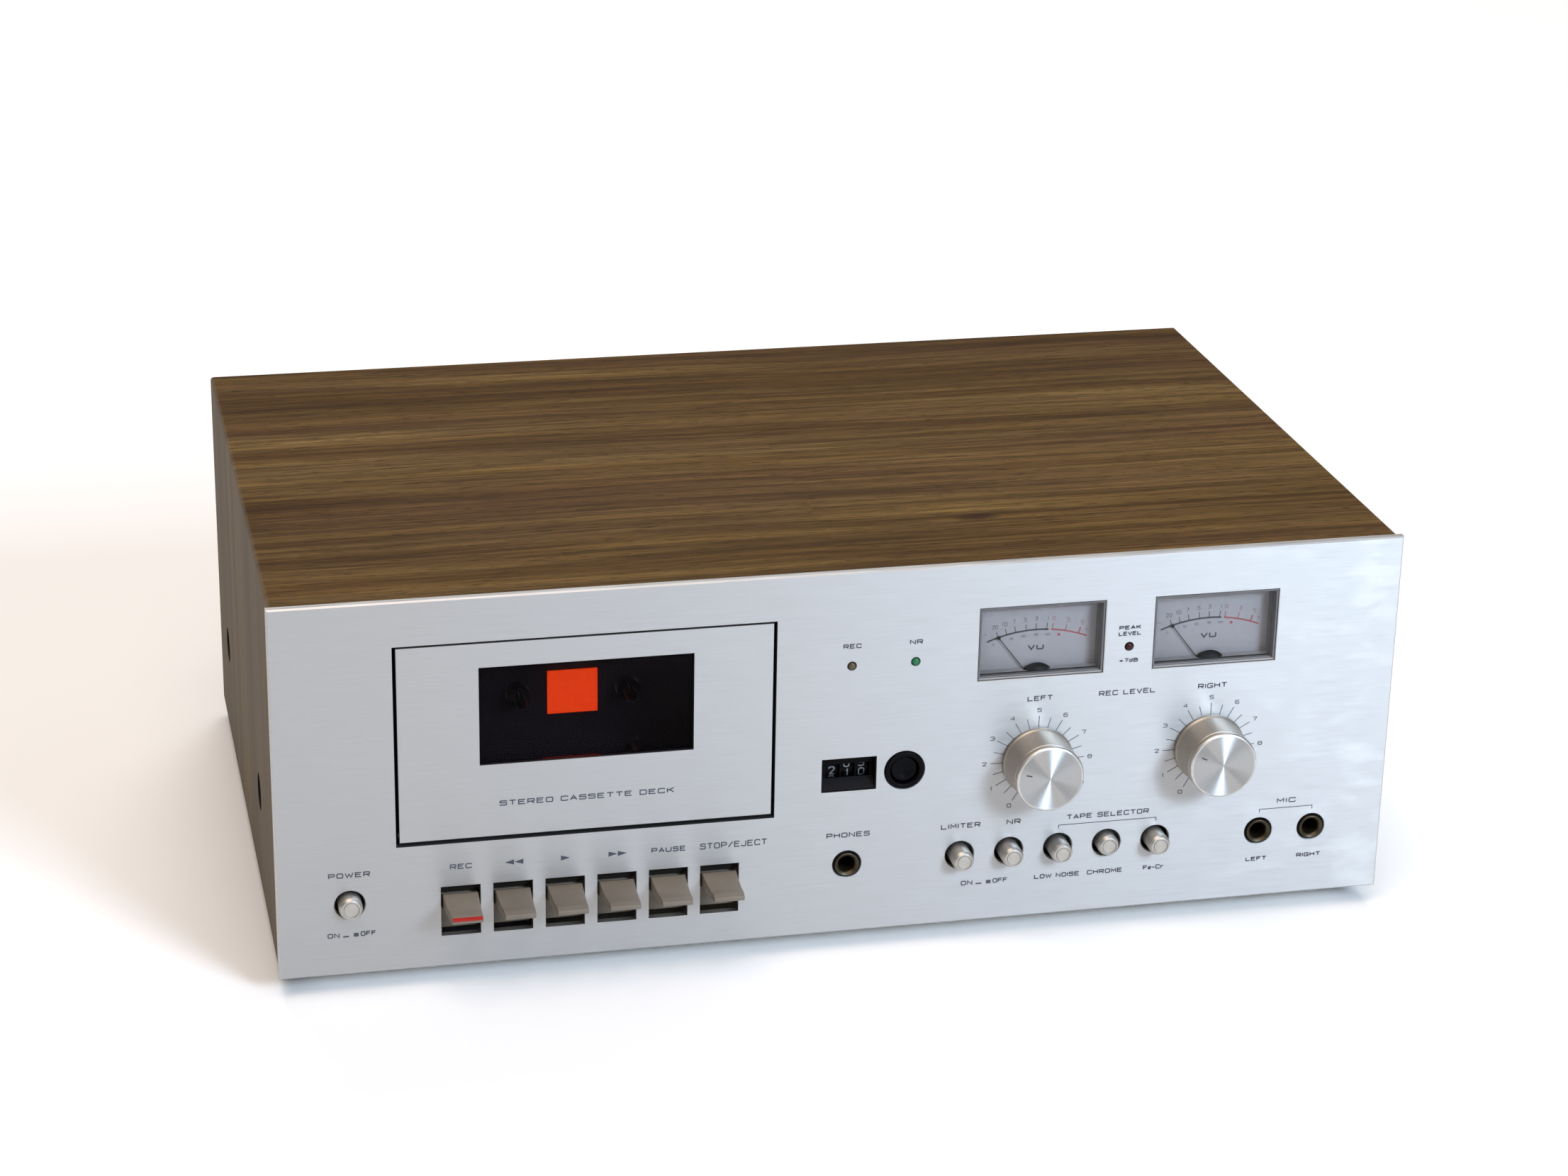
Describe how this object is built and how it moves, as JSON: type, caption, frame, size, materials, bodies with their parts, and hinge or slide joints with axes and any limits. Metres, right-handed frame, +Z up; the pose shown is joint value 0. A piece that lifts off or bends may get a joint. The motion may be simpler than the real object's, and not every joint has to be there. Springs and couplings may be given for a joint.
{
  "type": "cassette deck",
  "caption": "Front-loading stereo cassette deck with a brushed aluminium panel, walnut cabinet, piano keys, push buttons, level knobs and needle meters.",
  "frame": {"origin": "on the ground plane under the middle of the deck's bounding box, at the soles of the feet", "axes": "+X to the right seen from the front, +Y from the front panel to the back, +Z up"},
  "size_m": [0.44, 0.296, 0.1586],
  "materials": {
    "panel_aluminium": "fine horizontal brushing",
    "cabinet_walnut": "satin walnut-grain vinyl",
    "chassis_steel": "zinc-plated sheet",
    "rear_paint": "fine black paint",
    "foot_plastic": "matte",
    "mechanism_black": "matte black",
    "reflector_orange": "matte bright orange",
    "plain_steel": "machined",
    "polished_steel": "polished",
    "smoked_acrylic": "dark smoked, glossy",
    "key_plastic": "satin moulded",
    "button_metal": "bright turned metal",
    "knob_aluminium": "spun, radial on the face",
    "jack_brass": "plated",
    "black_plastic": "satin moulded",
    "black_rubber": "matte",
    "lamp_brown": "clear tinted",
    "lamp_green": "clear tinted",
    "lamp_red": "clear tinted",
    "needle_black": "matte",
    "board_brown": "phenolic board",
    "transformer_steel": "laminated"
  },
  "bodies": {
    "deck": {"front_panel": "panel_aluminium", "wood_cabinet": "cabinet_walnut", "chassis_tray": "chassis_steel", "rear_panel": "rear_paint", "mechanism_plate": "mechanism_black", "door_hinge_pin": "plain_steel", "key_pivot_rod": "plain_steel", "drive_motor": "plain_steel", "switch_bank": "plain_steel", "level_control_left": "plain_steel", "level_control_right": "plain_steel", "tape_reflector": "reflector_orange", "phones_jack": "jack_brass", "mic_jack_left": "jack_brass", "mic_jack_right": "jack_brass", "drive_belt": "black_rubber", "power_transformer": "transformer_steel", "main_board": "board_brown", "record_lamp": "lamp_brown", "noise_reduction_lamp": "lamp_green", "peak_lamp": "lamp_red", "foot_front_left": "foot_plastic", "foot_front_right": "foot_plastic", "foot_rear_left": "foot_plastic", "foot_rear_right": "foot_plastic", "counter_housing": "black_plastic", "meter_case_left": "black_plastic", "meter_case_right": "black_plastic", "line_jack_plate": "black_plastic", "mains_cord_gland": "black_plastic"},
    "door": {"cassette_door": "panel_aluminium", "door_window": "smoked_acrylic", "cassette_holder": "mechanism_black"},
    "record_key": {"record_key": "key_plastic"},
    "rewind_key": {"rewind_key": "key_plastic"},
    "play_key": {"play_key": "key_plastic"},
    "fast_forward_key": {"fast_forward_key": "key_plastic"},
    "pause_key": {"pause_key": "key_plastic"},
    "stop_eject_key": {"stop_eject_key": "key_plastic"},
    "power_button": {"power_button": "button_metal"},
    "limiter_button": {"limiter_button": "button_metal"},
    "noise_reduction_button": {"noise_reduction_button": "button_metal"},
    "low_noise_button": {"low_noise_button": "button_metal"},
    "chrome_button": {"chrome_button": "button_metal"},
    "ferrichrome_button": {"ferrichrome_button": "button_metal"},
    "counter_reset_button": {"counter_reset_button": "black_plastic"},
    "counter_wheel_hundreds": {"counter_wheel_hundreds": "black_plastic"},
    "counter_wheel_tens": {"counter_wheel_tens": "black_plastic"},
    "counter_wheel_units": {"counter_wheel_units": "black_plastic"},
    "meter_needle_left": {"meter_needle_left": "needle_black"},
    "meter_needle_right": {"meter_needle_right": "needle_black"},
    "level_knob_left": {"level_knob_left": "knob_aluminium"},
    "level_knob_right": {"level_knob_right": "knob_aluminium"},
    "supply_spindle": {"supply_spindle": "black_plastic"},
    "takeup_spindle": {"takeup_spindle": "black_plastic"},
    "flywheel": {"flywheel": "plain_steel"},
    "motor_pulley": {"motor_pulley": "jack_brass"},
    "head_plate": {"head_plate": "plain_steel", "record_play_head": "polished_steel"},
    "pinch_roller": {"pinch_roller": "black_rubber"}
  },
  "joints": [
    {"name": "door_hinge", "type": "hinge", "parent": "deck", "child": "door", "pos_m": [-0.1018, -0.125, 0.0629], "axis": [1, 0, 0], "range_deg": [0, 26]},
    {"name": "record_key_press", "type": "hinge", "parent": "deck", "child": "record_key", "pos_m": [-0.1505, -0.0665, 0.03], "axis": [1, 0, 0], "range_deg": [0, 7.5], "stiffness_Nm_per_rad": 1.5, "springref_deg": -3.44},
    {"name": "rewind_key_press", "type": "hinge", "parent": "deck", "child": "rewind_key", "pos_m": [-0.13048, -0.0665, 0.03], "axis": [1, 0, 0], "range_deg": [0, 7.5], "stiffness_Nm_per_rad": 1.5, "springref_deg": -3.44},
    {"name": "play_key_press", "type": "hinge", "parent": "deck", "child": "play_key", "pos_m": [-0.11046, -0.0665, 0.03], "axis": [1, 0, 0], "range_deg": [0, 7.5], "stiffness_Nm_per_rad": 1.5, "springref_deg": -3.44},
    {"name": "fast_forward_key_press", "type": "hinge", "parent": "deck", "child": "fast_forward_key", "pos_m": [-0.09044, -0.0665, 0.03], "axis": [1, 0, 0], "range_deg": [0, 7.5], "stiffness_Nm_per_rad": 1.5, "springref_deg": -3.44},
    {"name": "pause_key_press", "type": "hinge", "parent": "deck", "child": "pause_key", "pos_m": [-0.07042, -0.0665, 0.03], "axis": [1, 0, 0], "range_deg": [0, 7.5], "stiffness_Nm_per_rad": 1.5, "springref_deg": -3.44},
    {"name": "stop_eject_key_press", "type": "hinge", "parent": "deck", "child": "stop_eject_key", "pos_m": [-0.0504, -0.0665, 0.03], "axis": [1, 0, 0], "range_deg": [0, 7.5], "stiffness_Nm_per_rad": 1.5, "springref_deg": -3.44},
    {"name": "power_button_push", "type": "slide", "parent": "deck", "child": "power_button", "axis": [0, 1, 0], "range_m": [0, 0.0035]},
    {"name": "limiter_button_push", "type": "slide", "parent": "deck", "child": "limiter_button", "axis": [0, 1, 0], "range_m": [0, 0.0035]},
    {"name": "noise_reduction_button_push", "type": "slide", "parent": "deck", "child": "noise_reduction_button", "axis": [0, 1, 0], "range_m": [0, 0.0035]},
    {"name": "low_noise_button_push", "type": "slide", "parent": "deck", "child": "low_noise_button", "axis": [0, 1, 0], "range_m": [0, 0.0035]},
    {"name": "chrome_button_push", "type": "slide", "parent": "deck", "child": "chrome_button", "axis": [0, 1, 0], "range_m": [-0.0035, 0]},
    {"name": "ferrichrome_button_push", "type": "slide", "parent": "deck", "child": "ferrichrome_button", "axis": [0, 1, 0], "range_m": [0, 0.0035]},
    {"name": "counter_reset_push", "type": "slide", "parent": "deck", "child": "counter_reset_button", "axis": [0, 1, 0], "range_m": [0, 0.0025], "stiffness_N_per_m": 200, "springref_m": -0.001},
    {"name": "counter_hundreds_turn", "type": "hinge", "parent": "deck", "child": "counter_wheel_hundreds", "pos_m": [-0.0054, -0.1157, 0.0745], "axis": [1, 0, 0], "continuous": true},
    {"name": "counter_tens_turn", "type": "hinge", "parent": "deck", "child": "counter_wheel_tens", "pos_m": [0.0005, -0.1157, 0.0745], "axis": [1, 0, 0], "continuous": true},
    {"name": "counter_units_turn", "type": "hinge", "parent": "deck", "child": "counter_wheel_units", "pos_m": [0.0064, -0.1157, 0.0745], "axis": [1, 0, 0], "continuous": true},
    {"name": "meter_needle_left_swing", "type": "hinge", "parent": "deck", "child": "meter_needle_left", "pos_m": [0.07495, -0.1219, 0.1048], "axis": [0, 1, 0], "range_deg": [0, 75], "stiffness_Nm_per_rad": 0.0005, "springref_deg": -11.46},
    {"name": "meter_needle_right_swing", "type": "hinge", "parent": "deck", "child": "meter_needle_right", "pos_m": [0.14505, -0.1219, 0.1048], "axis": [0, 1, 0], "range_deg": [0, 75], "stiffness_Nm_per_rad": 0.0005, "springref_deg": -11.46},
    {"name": "level_knob_left_turn", "type": "hinge", "parent": "deck", "child": "level_knob_left", "pos_m": [0.0752, -0.1285, 0.0751], "axis": [0, 1, 0], "range_deg": [-74, 226]},
    {"name": "level_knob_right_turn", "type": "hinge", "parent": "deck", "child": "level_knob_right", "pos_m": [0.1452, -0.1285, 0.0751], "axis": [0, 1, 0], "range_deg": [-84, 216]},
    {"name": "supply_spindle_turn", "type": "hinge", "parent": "deck", "child": "supply_spindle", "pos_m": [-0.12305, -0.0985, 0.1042], "axis": [0, 1, 0], "continuous": true},
    {"name": "takeup_spindle_turn", "type": "hinge", "parent": "deck", "child": "takeup_spindle", "pos_m": [-0.08055, -0.0985, 0.1042], "axis": [0, 1, 0], "continuous": true},
    {"name": "flywheel_turn", "type": "hinge", "parent": "deck", "child": "flywheel", "pos_m": [-0.0783, -0.0805, 0.0805], "axis": [0, 1, 0], "continuous": true},
    {"name": "motor_pulley_turn", "type": "hinge", "parent": "deck", "child": "motor_pulley", "pos_m": [-0.142, -0.0805, 0.092], "axis": [0, 1, 0], "continuous": true},
    {"name": "head_plate_lift", "type": "slide", "parent": "deck", "child": "head_plate", "axis": [0, 0, 1], "range_m": [0, 0.005]},
    {"name": "pinch_roller_turn", "type": "hinge", "parent": "head_plate", "child": "pinch_roller", "pos_m": [-0.0783, -0.105, 0.0676], "axis": [0, 1, 0], "continuous": true}
  ],
  "couplings": [
    {"joint": "counter_units_turn", "follows": "takeup_spindle_turn", "ratio": 0.05},
    {"joint": "counter_tens_turn", "follows": "takeup_spindle_turn", "ratio": 0.005},
    {"joint": "counter_hundreds_turn", "follows": "takeup_spindle_turn", "ratio": 0.0005},
    {"joint": "motor_pulley_turn", "follows": "flywheel_turn", "ratio": 5.2},
    {"joint": "head_plate_lift", "follows": "play_key_press", "m_per_rad": 0.038}
  ]
}
